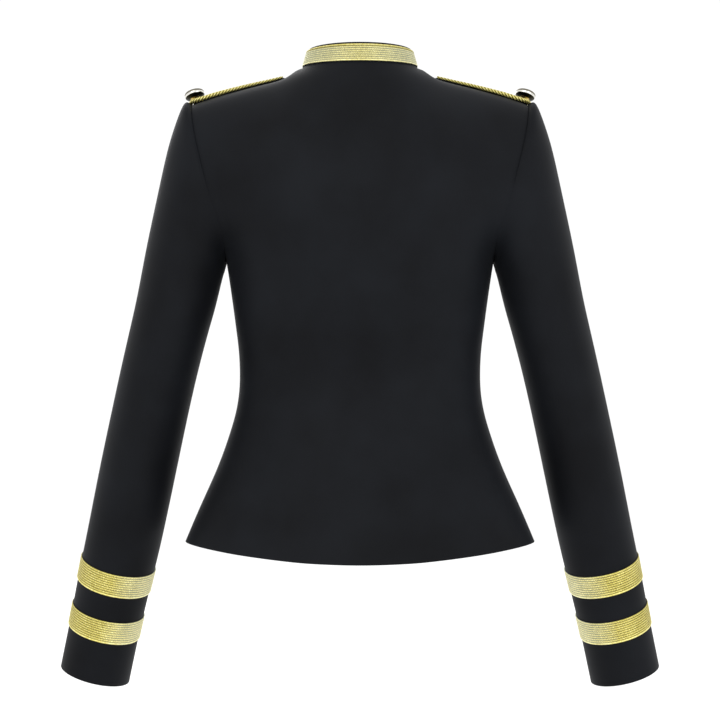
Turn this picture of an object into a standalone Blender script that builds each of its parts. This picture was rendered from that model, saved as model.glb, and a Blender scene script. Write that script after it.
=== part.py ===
"""Fitted short jacket with braid, filled out as if worn, with nobody inside it.

Metres, +Z up. The front faces -Y, and the wearer's left is +X. The origin is at the middle of the
shoulders, where the wearer's neck and shoulders carry the jacket.
"""
import math

import bmesh
import bpy
import numpy as np
from mathutils import Vector

MM = 0.001

# Cloth, braid and the gaps between the pieces
CLOTH_WALL = 2.0 * MM
COLLAR_WALL = 2.4 * MM
BRAID_WALL = 1.1 * MM
CUFF_BRAID_GAP = 0.3 * MM
EPAULETTE_WALL = 2.2 * MM
SEAM_GAP = 0.3 * MM

# How far each edge is set back from its seam line, so that walls that bend there stay apart. The
# shoulder's is this many times what the bend takes at the inner side of the wall
SIDE_SETBACK = 0.4 * MM
SHOULDER_EASE = 1.1
ARMHOLE_SETBACK = 0.30 * MM
FRONT_SETBACK = 0.30 * MM

# Mesh columns from the centre line to the side, and where the neck point falls among them
NECK_COLUMN = 5
SEAM_COLUMNS = 7
BODY_COLUMNS = NECK_COLUMN + SEAM_COLUMNS
SKIRT_ROWS = 13
ARMHOLE_ROWS = 11

# How the mesh is evened out: rounds, the share of the way to the mean that a point moves in each,
# the rows below the underarm where it starts, the top rows that it leaves alone, and how many
# columns beside the neck point are evened along their rows
RELAX_ROUNDS = 6
RELAX_SHARE = 0.5
RELAX_BELOW_UNDERARM = 3
RELAX_FREE_ROWS = 5
NECK_RELAX_COLUMNS = 2.0

# Points read from a smooth line before it is shared out evenly
ARMHOLE_SAMPLES = 120
NECK_SAMPLES = 60
SLEEVE_SAMPLES = 640
CORD_SAMPLES = 300

# What the epaulettes lie on: armhole rows from the shoulder tip down to this one, and these rings
SHOULDER_LOWEST_ROW = 4
SLEEVE_HEAD_RINGS = slice(1, 4)

# The neckline's direction is read between two points this far apart, in radians to each side
NECK_STEP = 0.01

# Points nearer than these are one, where halves meet and where a section is turned
HALVES_MERGE = 0.05 * MM
TURNED_MERGE = 0.01 * MM

# Body sections, from the hem up to the underarm, in mm: the half width at the side seam, and how
# far the cloth stands behind and in front of the origin on the centre lines
SIDE_SEAM_Y = -6.0
SECTION_SQUARENESS = 2.3
BODY_SECTIONS = (
    # height, half width, back, front
    (-512.0, 193.0, 123.5, -127.0),
    (-494.0, 185.3, 117.0, -122.5),
    (-460.0, 170.8, 105.5, -115.5),
    (-421.0, 153.4, 91.5, -108.0),
    (-383.0, 139.6, 79.0, -102.0),
    (-350.0, 131.0, 71.5, -98.5),
    (-319.0, 128.8, 69.5, -97.5),
    (-285.0, 130.8, 75.0, -103.0),
    (-250.0, 135.8, 84.5, -112.5),
    (-216.0, 140.8, 92.0, -120.0),
    (-200.0, 143.4, 94.5, -121.0),
)
UNDERARM_Z = -200.0

# The hem is highest at the side seams and dips behind and in front, in mm
HEM_SIDE_Z = -497.0
HEM_BACK_DIP = 15.8
HEM_FRONT_DIP = 10.0
HEM_DIP_POWER = 3.0

# Centre lines above the underarm, in mm
CENTRE_BACK = (
    # height, y
    (-200.0, 94.5),
    (-160.0, 97.0),
    (-120.0, 95.0),
    (-80.0, 86.0),
    (-35.0, 70.0),
    (-10.0, 60.0),
    (9.2, 50.0),
)
CENTRE_FRONT = (
    # height, y
    (-200.0, -121.0),
    (-170.0, -118.5),
    (-135.0, -110.0),
    (-105.0, -100.5),
    (-72.0, -87.5),
    (-45.0, -74.0),
)

# The fronts are darted into a soft fullness at each side of the centre, in mm
BUST_FULLNESS = 10.0
BUST_X = 80.0
BUST_Z = -212.0
BUST_SPREAD_X = 40.0
BUST_SPREAD_Z = 52.0
BLADE_FULLNESS = 3.0
BLADE_X = 82.0
BLADE_Z = -125.0
FULLNESS_FADE = 0.25

# Neckline, in mm: level from the centre back to the shoulder, then falling to the front
NECK_HALF_WIDTH = 61.6
NECK_SIDE_Y = -5.0
NECK_BACK_Y = 50.0
NECK_FRONT_Y = -74.0
NECK_Z = 9.2
NECK_FRONT_DROP = 54.2
NECK_DROP_POWER = 1.7

# Shoulder seam from the neck point to the shoulder tip, in mm, a row for each mesh column
SHOULDER_SEAM = (
    # x, y, z
    (61.6, -5.0, 9.4),
    (69.5, -5.6, 5.8),
    (80.0, -6.4, -2.2),
    (96.0, -7.6, -6.6),
    (117.0, -9.0, -11.4),
    (139.0, -10.2, -17.0),
    (160.0, -11.2, -22.8),
    (180.0, -12.0, -29.6),
)

# Armhole seam, from the underarm up behind to the shoulder tip and down in front, in mm
ARMHOLE = (
    # x, y, z
    (143.4, -6.0, -200.0),
    (143.7, 22.0, -187.5),
    (146.6, 41.0, -169.0),
    (153.0, 51.5, -148.5),
    (159.7, 54.5, -126.0),
    (166.3, 51.5, -100.0),
    (172.7, 42.0, -74.0),
    (177.6, 27.0, -50.0),
    (179.6, 8.0, -34.5),
    (180.0, -12.0, -29.6),
    (178.5, -30.0, -35.0),
    (173.5, -47.0, -52.0),
    (165.5, -58.5, -76.0),
    (157.0, -66.0, -102.0),
    (149.5, -70.0, -128.0),
    (144.6, -67.5, -152.0),
    (142.2, -56.0, -174.0),
    (142.2, -34.0, -191.5),
)
SHOULDER_TIP = 9

# Sleeve stations from the armhole down to the cuff, in mm: the outermost and innermost points, the
# depth's middle and half. Down to the upper arm the rings fan out from the underarm
SLEEVE_STATIONS = (
    # outer x, outer z, inner x, inner z, middle y, half depth
    (180.0, -29.6, 143.4, -200.0, -8.0, 62.5),
    (187.2, -27.7, 143.9, -201.2, -8.0, 62.5),
    (194.8, -43.5, 144.2, -202.4, -8.2, 62.0),
    (204.8, -74.1, 144.5, -204.0, -8.6, 61.5),
    (213.7, -112.0, 144.9, -206.2, -9.0, 60.8),
    (222.2, -151.0, 145.7, -210.0, -9.0, 59.6),
    (230.4, -191.0, 148.0, -217.5, -8.6, 58.0),
    (238.3, -233.0, 155.0, -246.5, -8.0, 56.0),
    (247.0, -272.0, 163.6, -277.0, -8.4, 54.0),
    (258.6, -321.5, 177.4, -330.0, -12.0, 51.2),
    (270.4, -373.0, 189.8, -384.5, -19.6, 48.8),
    (282.0, -424.0, 201.4, -437.0, -28.6, 47.0),
    (293.2, -477.0, 213.4, -491.0, -37.6, 45.6),
    (304.4, -528.0, 226.4, -543.5, -46.2, 44.6),
    (315.2, -581.0, 239.6, -596.0, -54.4, 43.8),
    (327.0, -636.4, 253.0, -656.2, -62.5, 43.0),
)
SLEEVE_FAN_STATIONS = 7
ARMHOLE_FADE = (1.0, 0.97, 0.90, 0.74, 0.52, 0.28, 0.10, 0.0)

# Braid bands on the sleeve: how far each edge lies from the cuff edge, measured along the sleeve.
# They dip behind, and a little at the inner side
LOWER_BRAID = (49.5 * MM, 74.5 * MM)
UPPER_BRAID = (102.5 * MM, 127.5 * MM)
BRAID_DIP_BEHIND = 3.25 * MM
BRAID_DIP_INSIDE = 1.75 * MM
SLEEVE_RINGS_ABOVE = (160.0 * MM, 205.0 * MM, 250.0 * MM, 298.0 * MM, 346.0 * MM, 390.0 * MM)

# Stand collar: it leans in towards the neck, is lower in front by a share of its height, and is open
# a little at the centre front
COLLAR_HEIGHT = 21.8 * MM
COLLAR_LEAN = math.radians(16.0)
COLLAR_FALL = 0.32
COLLAR_INSET = 0.9 * MM
COLLAR_FRONT_EASE = 0.5 * MM
COLLAR_OPENING = math.radians(2.0)
COLLAR_STEPS = 44
COLLAR_BRAID_LOW = 0.5 * MM
COLLAR_BRAID_HIGH = 1.7 * MM

# Epaulettes: a tab with a rounded outer end, edged with a twisted cord
EPAULETTE_INNER_X = 81.0 * MM
EPAULETTE_OUTER_X = 180.0 * MM
EPAULETTE_INNER_HALF = 14.0 * MM
EPAULETTE_OUTER_HALF = 18.0 * MM
EPAULETTE_INNER_FORWARD = 18.0 * MM
EPAULETTE_OUTER_FORWARD = 11.5 * MM
EPAULETTE_CLEARANCE = 1.0 * MM
EPAULETTE_END_LENGTH = 17.0 * MM
EPAULETTE_END_POWER = 2.4
EPAULETTE_STEPS = (0.0, 0.17, 0.34, 0.51, 0.66, 0.78, 0.86, 0.92, 0.965, 0.99)
EPAULETTE_COLUMNS = 8
CORD_RADIUS = 2.5 * MM
CORD_CLEARANCE = 1.3 * MM
CORD_BESIDE = 1.0 * MM
SLOPE_STEP = 5.0 * MM
CORD_POINT_SPACING = 6.0 * MM
CORD_SIDES_RESOLUTION = 2

# Shank buttons near the outer ends of the epaulettes
BUTTON_X = 174.6 * MM
BUTTON_SEGMENTS = 24
BUTTON_PROFILE = (
    # radius, height above the epaulette, in mm, from the top of the crown down
    (0.0, 15.6),
    (3.5, 15.3),
    (6.6, 14.3),
    (9.0, 12.7),
    (10.4, 10.9),
    (10.9, 9.2),
    (10.5, 7.6),
    (8.0, 6.9),
    (3.2, 6.4),
    (2.4, 5.8),
    (2.4, 0.0),
    (0.0, 0.0),
)

# Finishes: linear colour, roughness, metallic
CLOTH_FINISH = ((0.016, 0.016, 0.018, 1.0), 0.75, 0.0)
BRAID_FINISH = ((0.60, 0.52, 0.20, 1.0), 0.45, 0.5)
BUTTON_FINISH = ((0.50, 0.44, 0.28, 1.0), 0.3, 1.0)


def start_empty():
    """Remove whatever the scene holds and give the jacket its own collection."""
    for item in list(bpy.data.objects):
        bpy.data.objects.remove(item, do_unlink=True)
    jacket = bpy.data.collections.new("Jacket")
    bpy.context.scene.collection.children.link(jacket)
    return jacket


def make_material(name, colour, roughness, metallic):
    """A plain Principled material."""
    material = bpy.data.materials.new(name)
    material.use_nodes = True
    shader = material.node_tree.nodes["Principled BSDF"]
    shader.inputs["Base Color"].default_value = colour
    shader.inputs["Roughness"].default_value = roughness
    shader.inputs["Metallic"].default_value = metallic
    material.diffuse_color = colour
    return material


def smooth_through(knots, values, at):
    """Read a natural cubic spline through values, a row for each knot, at the given places."""
    knots = np.asarray(knots, float)
    values = np.asarray(values, float).reshape(len(knots), -1)
    at = np.atleast_1d(np.asarray(at, float))
    steps = np.diff(knots)
    slopes = np.diff(values, axis=0) / steps[:, None]
    system = np.eye(len(knots))
    right = np.zeros_like(values)
    for i in range(1, len(knots) - 1):
        system[i, i - 1:i + 2] = steps[i - 1], 2 * (steps[i - 1] + steps[i]), steps[i]
        right[i] = 6 * (slopes[i] - slopes[i - 1])
    bend = np.linalg.solve(system, right)
    k = np.clip(np.searchsorted(knots, at, side="right") - 1, 0, len(steps) - 1)
    below = (at - knots[k])[:, None]
    above = (knots[k + 1] - at)[:, None]
    width = steps[k][:, None]
    curve = (bend[k] * above ** 3 + bend[k + 1] * below ** 3) / (6 * width)
    curve += (values[k] / width - bend[k] * width / 6) * above
    curve += (values[k + 1] / width - bend[k + 1] * width / 6) * below
    return curve


def evenly_along(points, count):
    """Space count points evenly along a polyline."""
    points = np.asarray(points, float)
    lengths = np.r_[0.0, np.cumsum(np.linalg.norm(np.diff(points, axis=0), axis=1))]
    places = np.linspace(0.0, lengths[-1], count)
    return np.column_stack([np.interp(places, lengths, points[:, i]) for i in range(3)])


def quarter_section(share, sweep):
    """How far across and how far round each share of a section lies, both from 0 to 1."""
    power = SECTION_SQUARENESS
    angle = share * sweep
    reach = (np.sin(angle) ** power + np.cos(angle) ** power) ** (-1 / power)
    last = (math.sin(sweep) ** power + math.cos(sweep) ** power) ** (-1 / power)
    across = reach * np.sin(angle) / (last * math.sin(sweep))
    depth = (1 - reach * np.cos(angle)) / (1 - last * math.cos(sweep))
    return across, depth


def neck_point(angle):
    """The neckline at an angle from the centre back, in mm."""
    x = NECK_HALF_WIDTH * math.sin(angle)
    reach = NECK_BACK_Y if math.cos(angle) > 0 else -NECK_FRONT_Y
    reach += -NECK_SIDE_Y if math.cos(angle) > 0 else NECK_SIDE_Y
    y = NECK_SIDE_Y + reach * math.cos(angle)
    z = NECK_Z - NECK_FRONT_DROP * max(0.0, -math.cos(angle)) ** NECK_DROP_POWER
    return np.array((x, y, z))


def armhole_half(front):
    """One half of the armhole from the underarm up to the shoulder tip, a point for each row."""
    loop = np.array(ARMHOLE)
    wrapped = np.vstack([loop[-3:], loop, loop[:3]])
    knots = np.arange(len(wrapped)) - 3.0
    if front:
        places = np.linspace(len(loop), SHOULDER_TIP, ARMHOLE_SAMPLES)
    else:
        places = np.linspace(0.0, SHOULDER_TIP, ARMHOLE_SAMPLES)
    return evenly_along(smooth_through(knots, wrapped, places), ARMHOLE_ROWS + 1)


def top_row(front):
    """The neckline and then the shoulder seam, a point for each column."""
    angles = np.linspace(math.pi if front else 0.0, math.pi / 2, NECK_SAMPLES)
    neck = evenly_along([neck_point(a) for a in angles], NECK_COLUMN + 1)
    return np.vstack([neck[:-1], SHOULDER_SEAM])


def body_half(front):
    """The left half of the back or front, in mm: rows go up, columns go out from the centre."""
    share = np.linspace(0.0, 1.0, BODY_COLUMNS + 1)
    sections = np.array(BODY_SECTIONS)
    depth_column = 3 if front else 2
    dip = HEM_FRONT_DIP if front else HEM_BACK_DIP
    across, depth = quarter_section(share, math.pi / 2)
    hem = HEM_SIDE_Z - dip * np.cos(share * math.pi / 2) ** HEM_DIP_POWER
    rows = []
    for up in np.linspace(0.0, 1.0, SKIRT_ROWS + 1)[:-1]:
        z = hem + (UNDERARM_Z - hem) * up
        size = smooth_through(sections[:, 0], sections, z)
        x = size[:, 1] * across
        y = size[:, depth_column] + (SIDE_SEAM_Y - size[:, depth_column]) * depth
        rows.append(np.column_stack([x, y, z]))

    edge = armhole_half(front)
    line = np.array(CENTRE_FRONT if front else CENTRE_BACK)
    heights = np.linspace(UNDERARM_Z, line[-1, 0], ARMHOLE_ROWS + 1)
    centre = np.column_stack([
        np.zeros(len(heights)), smooth_through(line[:, 0], line[:, 1], heights)[:, 0], heights,
    ])
    widest = int(np.argmax(abs(edge[:, 1] - SIDE_SEAM_Y)))
    for i in range(widest + 1):
        rows.append(armhole_level_row(share, centre[i], edge[i]))
    base = rows[-1]
    top = top_row(front)
    reach = np.minimum(1.0, share * BODY_COLUMNS / NECK_COLUMN)[:, None]
    reach = reach * reach * (3 - 2 * reach)
    for i in range(widest + 1, ARMHOLE_ROWS + 1):
        by_edge = (edge[i] - edge[widest]) / (edge[-1] - edge[widest])
        by_centre = (centre[i] - centre[widest])[1:] / (centre[-1] - centre[widest])[1:]
        by_centre = np.r_[by_edge[0], by_centre]
        rows.append(base + (top - base) * (by_centre + (by_edge - by_centre) * reach))
    grid = even_out(np.array(rows), SKIRT_ROWS - RELAX_BELOW_UNDERARM)
    return add_fullness(grid, front) * MM


def armhole_level_row(share, centre, end):
    """A row from the centre line to the lower armhole, cut short where the armhole meets it."""
    sweep = math.acos((end[1] - SIDE_SEAM_Y) / (centre[1] - SIDE_SEAM_Y))
    across, depth = quarter_section(share, sweep)
    x = end[0] * across
    y = centre[1] + (end[1] - centre[1]) * depth
    z = centre[2] + (end[2] - centre[2]) * share ** 2
    return np.column_stack([x, y, z])


def even_out(grid, first_row):
    """Relax the inner points above first_row, and the rows that turn round the neck point."""
    grid = grid.copy()
    fade = np.zeros(len(grid) - 2)
    fade[first_row:-RELAX_FREE_ROWS] = RELAX_SHARE
    columns = np.arange(1, grid.shape[1] - 1)
    near_neck = np.exp(-((columns - NECK_COLUMN) / NECK_RELAX_COLUMNS) ** 2)[None, :, None]
    upper = slice(-RELAX_FREE_ROWS - 2, -1)
    for _ in range(RELAX_ROUNDS):
        mean = (grid[:-2, 1:-1] + grid[2:, 1:-1] + grid[1:-1, :-2] + grid[1:-1, 2:]) / 4
        grid[1:-1, 1:-1] += fade[:, None, None] * (mean - grid[1:-1, 1:-1])
        along = (grid[upper, :-2] + grid[upper, 2:]) / 2
        grid[upper, 1:-1] += RELAX_SHARE * near_neck * (along - grid[upper, 1:-1])
    return grid


def add_fullness(grid, front):
    """Push the cloth out where darts shape it: over the bust, or over the shoulder blades."""
    if front:
        push, middle_x, middle_z = -BUST_FULLNESS, BUST_X, BUST_Z
    else:
        push, middle_x, middle_z = BLADE_FULLNESS, BLADE_X, BLADE_Z
    away = ((grid[..., 0] - middle_x) / BUST_SPREAD_X) ** 2
    away += ((grid[..., 2] - middle_z) / BUST_SPREAD_Z) ** 2
    fade = np.sqrt(np.minimum(1.0, (1 - np.linspace(0, 1, grid.shape[1])) / FULLNESS_FADE))
    grid[..., 1] += push * np.exp(-away) * fade
    return grid


def sleeve_rings(back, front):
    """The left sleeve's rings, from the armhole to the cuff, and each ring's way to the cuff."""
    hole = np.vstack([back[SKIRT_ROWS:, -1], front[SKIRT_ROWS + 1:-1, -1][::-1]])
    count = len(hole)
    stations = np.array(SLEEVE_STATIONS) * MM
    knots = np.arange(len(stations))
    fine = np.linspace(0, len(stations) - 1, SLEEVE_SAMPLES)
    centres = sleeve_frame(smooth_through(knots, stations, fine))[0]
    steps = np.linalg.norm(np.diff(centres, axis=0), axis=1)
    to_cuff = np.r_[np.cumsum(steps[::-1])[::-1], 0.0]
    marks = (*SLEEVE_RINGS_ABOVE[::-1], *UPPER_BRAID[::-1], *LOWER_BRAID[::-1], 0.0)
    places = np.r_[knots[:SLEEVE_FAN_STATIONS + 1], np.interp(marks, to_cuff[::-1], fine[::-1])]
    centre, across, behind = sleeve_frame(smooth_through(knots, stations, places))
    turn = 2 * math.pi * np.arange(count) / count
    rings = centre[:, None] - across[:, None] * np.cos(turn)[None, :, None]
    rings = rings + behind[:, None] * np.sin(turn)[None, :, None]
    fade = np.interp(places, np.arange(len(ARMHOLE_FADE)), ARMHOLE_FADE)
    rings += (hole - rings[0])[None] * fade[:, None, None]
    down = np.gradient(centre, axis=0)
    down /= np.linalg.norm(down, axis=1, keepdims=True)
    dip = BRAID_DIP_BEHIND * np.sin(turn) + BRAID_DIP_INSIDE * np.cos(turn)
    bands = slice(-1 - len(LOWER_BRAID) - len(UPPER_BRAID), -1)
    rings[bands] += down[bands, None] * dip[None, :, None]
    return rings, np.interp(places, fine, to_cuff)


def sleeve_frame(stations):
    """Each station's centre and its half axes, outwards and backwards."""
    outer = stations[:, 0:2]
    inner = stations[:, 2:4]
    middle = (outer + inner) / 2
    half = (outer - inner) / 2
    flat = np.zeros(len(stations))
    centre = np.column_stack([middle[:, 0], stations[:, 4], middle[:, 1]])
    across = np.column_stack([half[:, 0], flat, half[:, 1]])
    along = np.gradient(centre, axis=0)
    behind = np.cross(across, along)
    behind *= (stations[:, 5] / np.linalg.norm(behind, axis=1))[:, None]
    return centre, across, behind


def set_back(edge, inside, distance):
    """Pull the points of an edge back along the cloth towards the points inside it."""
    way = inside - edge
    return edge + distance * way / np.linalg.norm(way, axis=-1, keepdims=True)


def cloth_sheet(name, grid, wall, material, collection, closed=False, flip=False, outward=False):
    """A panel from its rows of points, with its wall made by Solidify."""
    rows, columns = grid.shape[:2]
    mesh = bmesh.new()
    points = [[mesh.verts.new(Vector(p)) for p in row] for row in grid]
    for i in range(rows - 1):
        for j in range(columns if closed else columns - 1):
            k = (j + 1) % columns
            corners = [points[i][j], points[i][k], points[i + 1][k], points[i + 1][j]]
            mesh.faces.new(corners[::-1] if flip else corners)
    data = bpy.data.meshes.new(name)
    mesh.to_mesh(data)
    mesh.free()
    data.shade_smooth()
    data.materials.append(material)
    panel = bpy.data.objects.new(name, data)
    collection.objects.link(panel)
    thickness = panel.modifiers.new("Wall", "SOLIDIFY")
    thickness.thickness = wall
    thickness.offset = 1.0 if outward else -1.0
    thickness.use_even_offset = True
    return panel


def mirrored(grid, side):
    """The points for the wearer's left as they are, and for the right mirrored in X."""
    return grid * np.array((side, 1.0, 1.0))


def grid_normals(grid, closed=False):
    """Unit normals of a grid of points, from its rows and columns."""
    up = np.gradient(grid, axis=0)
    if closed:
        along = np.roll(grid, -1, axis=1) - np.roll(grid, 1, axis=1)
    else:
        along = np.gradient(grid, axis=1)
    normal = np.cross(along, up)
    return normal / np.linalg.norm(normal, axis=-1, keepdims=True)


def part_seams(half, other):
    """A body half with its side, armhole and shoulder edges set back from their seams."""
    panel = half.copy()
    panel[:, -1] = set_back(panel[:, -1], half[:, -2], SIDE_SETBACK)
    ridge = slice(NECK_COLUMN, None)
    apart = shoulder_setback(half[-1, ridge], half[-2, ridge], other[-2, ridge])
    panel[-1, ridge] = set_back(panel[-1, ridge], half[-2, ridge], apart)
    return panel


def shoulder_setback(edge, inside, beyond):
    """Half a seam gap, and what the bend at the ridge takes at the inner side of the wall."""
    way = (inside - edge) / np.linalg.norm(inside - edge, axis=-1, keepdims=True)
    across = (beyond - edge) / np.linalg.norm(beyond - edge, axis=-1, keepdims=True)
    bend = math.pi - np.arccos(np.clip((way * across).sum(axis=-1, keepdims=True), -1.0, 1.0))
    return SEAM_GAP / 2 + SHOULDER_EASE * CLOTH_WALL * np.tan(bend / 2)


def make_body(back, front, cloth, jacket):
    """The back in one piece from its mirrored half, and the two fronts."""
    panel = part_seams(back, front)
    whole = cloth_sheet("back", panel, CLOTH_WALL, cloth, jacket, flip=True)
    both = whole.modifiers.new("Both halves", "MIRROR")
    both.use_axis = (True, False, False)
    both.merge_threshold = HALVES_MERGE
    whole.modifiers.move(1, 0)

    panel = part_seams(front, back)
    panel[:, 0, 0] = FRONT_SETBACK
    for name, side in (("front_left", 1), ("front_right", -1)):
        cloth_sheet(name, mirrored(panel, side), CLOTH_WALL, cloth, jacket, flip=side < 0)


def make_sleeves(rings, cloth, jacket):
    """The two sleeves, parted from the armholes."""
    start = rings[1] - rings[0]
    start /= np.linalg.norm(start, axis=-1, keepdims=True)
    tube = rings.copy()
    tube[0] += start * ARMHOLE_SETBACK
    for name, side in (("sleeve_left", 1), ("sleeve_right", -1)):
        cloth_sheet(name, mirrored(tube, side), CLOTH_WALL, cloth, jacket, True, side < 0)


def make_cuff_braids(rings, to_cuff, braid, jacket):
    """Two bands round each sleeve, on the sleeve's own points moved out."""
    out = grid_normals(rings, closed=True)
    outside = rings + out * CUFF_BRAID_GAP
    for level, edges in (("upper", UPPER_BRAID), ("lower", LOWER_BRAID)):
        first = int(np.argmin(abs(to_cuff - edges[1])))
        last = int(np.argmin(abs(to_cuff - edges[0])))
        band = outside[first:last + 1]
        for hand, side in (("left", 1), ("right", -1)):
            name = f"cuff_braid_{hand}_{level}"
            cloth_sheet(name, mirrored(band, side), BRAID_WALL, braid, jacket, True, side < 0, True)


def collar_strip(low, high, out):
    """Points round the collar between two heights up its slope, moved out from its face."""
    sweep = math.pi - COLLAR_OPENING
    seam = top_row(front=True)[:NECK_COLUMN + 1]
    ahead_share = (NECK_SIDE_Y - seam[:, 1]) / (NECK_SIDE_Y - NECK_FRONT_Y)
    from_front = np.arctan2(seam[:, 0] / NECK_HALF_WIDTH, ahead_share)
    strip = []
    for height in (low, high):
        row = []
        for angle in np.linspace(-sweep, sweep, COLLAR_STEPS + 1):
            foot = neck_point(angle)
            foot[2] = np.interp(math.pi - abs(angle), from_front, seam[:, 2])
            foot *= MM
            ahead = neck_point(angle + NECK_STEP) - neck_point(angle - NECK_STEP)
            inward = np.array((ahead[1], -ahead[0], 0.0))
            inward /= np.linalg.norm(inward)
            rise = height * (1 - COLLAR_FALL * (1 - math.cos(angle)) / 2)
            foot += inward * (COLLAR_INSET + rise * math.sin(COLLAR_LEAN) - out)
            foot[2] += SEAM_GAP + rise * math.cos(COLLAR_LEAN)
            foot[2] += COLLAR_FRONT_EASE * max(0.0, -math.cos(angle))
            row.append(foot)
        strip.append(row)
    return np.array(strip)


def make_collar(cloth, braid, jacket):
    """The stand collar on the neckline, with its braid round the outside."""
    strip = collar_strip(0.0, COLLAR_HEIGHT, 0.0)
    cloth_sheet("collar", strip, COLLAR_WALL, cloth, jacket, flip=True)
    strip = collar_strip(COLLAR_BRAID_LOW, COLLAR_HEIGHT - COLLAR_BRAID_HIGH, SEAM_GAP)
    cloth_sheet("collar_braid", strip, BRAID_WALL, braid, jacket, flip=True, outward=True)


def shoulder_surface(back, front, rings):
    """Rows that run out along the left shoulder and onto the sleeve, from behind to in front."""
    rows = []
    for i in range(ARMHOLE_ROWS, SHOULDER_LOWEST_ROW - 1, -1):
        row = SKIRT_ROWS + i
        behind = np.vstack([back[row, NECK_COLUMN:], rings[SLEEVE_HEAD_RINGS, i]])
        ahead = np.vstack([front[row, NECK_COLUMN:], rings[SLEEVE_HEAD_RINGS, -i]])
        rows.insert(0, behind)
        if i < ARMHOLE_ROWS:
            rows.append(ahead)
    return rows


def surface_point(rows, x, y):
    """The point of the shoulder surface above a place, and the way out from it."""
    def height(at_x, at_y):
        profile = [(np.interp(at_x, r[:, 0], r[:, 1]), np.interp(at_x, r[:, 0], r[:, 2])) for r in rows]
        profile = np.array(profile[::-1])
        return np.interp(at_y, profile[:, 0], profile[:, 1])
    step = SLOPE_STEP
    slope_x = (height(x + step, y) - height(x - step, y)) / (2 * step)
    slope_y = (height(x, y + step) - height(x, y - step)) / (2 * step)
    out = np.array((-slope_x, -slope_y, 1.0))
    return np.array((x, y, height(x, y))), out / np.linalg.norm(out)


def tab_middle(x):
    """Where the middle of the epaulette runs at x: its back edge lies along the shoulder ridge."""
    table = np.array(SHOULDER_SEAM) * MM
    ends = (EPAULETTE_INNER_X, EPAULETTE_OUTER_X)
    forward = np.interp(x, ends, (EPAULETTE_INNER_FORWARD, EPAULETTE_OUTER_FORWARD))
    return float(np.interp(x, table[:, 0], table[:, 1]) - forward)


def epaulette_half(share):
    """Half the epaulette's width at a share of its length, with its rounded outer end."""
    length = EPAULETTE_OUTER_X - EPAULETTE_INNER_X
    half = EPAULETTE_INNER_HALF + (EPAULETTE_OUTER_HALF - EPAULETTE_INNER_HALF) * share
    into_end = max(0.0, 1 - (1 - share) * length / EPAULETTE_END_LENGTH)
    return half * (1 - into_end ** EPAULETTE_END_POWER) ** (1 / EPAULETTE_END_POWER)


def make_epaulettes(rows, cloth, gold, metal, jacket):
    """The tabs, their cords and their buttons, all from the shoulder's own points moved out."""
    length = EPAULETTE_OUTER_X - EPAULETTE_INNER_X
    tab = []
    for share in EPAULETTE_STEPS:
        x = EPAULETTE_INNER_X + length * share
        half = epaulette_half(share)
        line = []
        for across in np.linspace(1.0, -1.0, EPAULETTE_COLUMNS + 1):
            point, out = surface_point(rows, x, tab_middle(x) + across * half)
            line.append(point + out * EPAULETTE_CLEARANCE)
        tab.append(line)
    tab = np.array(tab)
    outline = np.vstack([tab[:, 0], tab[-1, 1:-1], tab[::-1, -1]])
    route = cord_route(rows, outline)
    seat, out = surface_point(rows, BUTTON_X, tab_middle(BUTTON_X))
    seat = seat + out * (EPAULETTE_CLEARANCE + EPAULETTE_WALL + SEAM_GAP)
    for hand, side in (("left", 1), ("right", -1)):
        cloth_sheet(
            f"epaulette_{hand}", mirrored(tab, side), EPAULETTE_WALL, cloth, jacket,
            flip=side < 0, outward=True,
        )
        make_cord(f"epaulette_cord_{hand}", mirrored(route, side), gold, jacket)
        make_button(f"button_{hand}", mirrored(seat, side), mirrored(out, side), metal, jacket)


def cord_route(rows, outline):
    """The cord's middle line: beside the tab's edge, and resting on the shoulder."""
    beside = CORD_RADIUS + CORD_BESIDE
    way = np.gradient(outline[:, :2], axis=0)
    side = np.column_stack([-way[:, 1], way[:, 0]])
    side /= np.linalg.norm(side, axis=1, keepdims=True)
    places = outline[:, :2] + side * beside
    points = []
    for x, y in places:
        point, out = surface_point(rows, x, y)
        points.append(point + out * (CORD_RADIUS + CORD_CLEARANCE))
    smooth = smooth_through(np.arange(len(points)), points, np.linspace(0, len(points) - 1, CORD_SAMPLES))
    lengths = np.linalg.norm(np.diff(smooth, axis=0), axis=1)
    return evenly_along(smooth, int(lengths.sum() / CORD_POINT_SPACING))


def make_cord(name, route, material, collection):
    """A round cord along a route."""
    curve = bpy.data.curves.new(name, "CURVE")
    curve.dimensions = "3D"
    curve.bevel_depth = CORD_RADIUS
    curve.bevel_resolution = CORD_SIDES_RESOLUTION
    curve.use_fill_caps = True
    spline = curve.splines.new("POLY")
    spline.points.add(len(route) - 1)
    for point, place in zip(spline.points, route):
        point.co = (*place, 1.0)
    spline.use_smooth = True
    curve.materials.append(material)
    collection.objects.link(bpy.data.objects.new(name, curve))


def make_button(name, seat, out, material, collection):
    """A shank button, turned from its profile and stood on the epaulette."""
    data = bpy.data.meshes.new(name)
    points = [(radius * MM, 0.0, height * MM) for radius, height in BUTTON_PROFILE]
    data.from_pydata(points, [(i, i + 1) for i in range(len(points) - 1)], [])
    data.materials.append(material)
    button = bpy.data.objects.new(name, data)
    button.location = Vector(seat)
    button.rotation_euler = Vector(out).to_track_quat("Z", "Y").to_euler()
    collection.objects.link(button)
    turned = button.modifiers.new("Turned", "SCREW")
    turned.steps = BUTTON_SEGMENTS
    turned.render_steps = BUTTON_SEGMENTS
    turned.use_merge_vertices = True
    turned.merge_threshold = TURNED_MERGE
    turned.use_smooth_shade = True


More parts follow.
